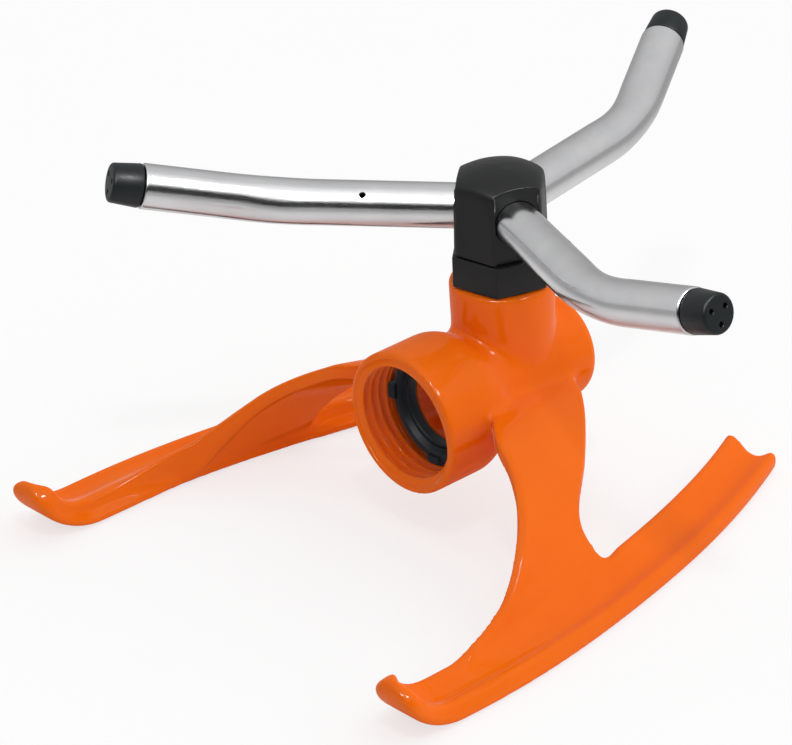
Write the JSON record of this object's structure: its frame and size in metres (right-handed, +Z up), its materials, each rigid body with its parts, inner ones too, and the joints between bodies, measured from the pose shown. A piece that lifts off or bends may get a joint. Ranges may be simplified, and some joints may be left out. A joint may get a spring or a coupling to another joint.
{
  "type": "three-arm lawn sprinkler",
  "caption": "Garden sprinkler with a spinning hub of bent water arms on a two-runner cast sled base with a threaded hose inlet.",
  "frame": {"origin": "on the ground, under the centre of the bounding box", "axes": "+Z up along the rotor's axis; the hose inlet faces -Y and the runners lie along Y; +X to the right when looking along +Y"},
  "size_m": [0.1442, 0.1682, 0.0797],
  "materials": {
    "enamel": "gloss",
    "washer_rubber": "matte",
    "ring_rubber": "matte",
    "nut_plastic": "satin",
    "hub_plastic": "satin",
    "cap_plastic": "satin",
    "nylon": "satin",
    "tube_metal": "polished",
    "brass": "satin"
  },
  "bodies": {
    "base": {"base_casting": "enamel", "hose_washer": "washer_rubber", "bearing_nut": "nut_plastic", "nut_o_ring": "ring_rubber", "spindle_o_ring": "ring_rubber", "lower_thrust_washer": "nylon", "upper_thrust_washer": "nylon"},
    "rotor": {"spindle": "brass", "hub": "hub_plastic", "arm_tube_left": "tube_metal", "arm_tube_front": "tube_metal", "arm_tube_back": "tube_metal", "nozzle_cap_left": "cap_plastic", "nozzle_cap_front": "cap_plastic", "nozzle_cap_back": "cap_plastic"}
  },
  "joints": [
    {"name": "rotor_spin", "type": "hinge", "parent": "base", "child": "rotor", "pos_m": [-0.00957, 0.00386, 0.0665], "axis": [0, 0, 1], "continuous": true}
  ]
}
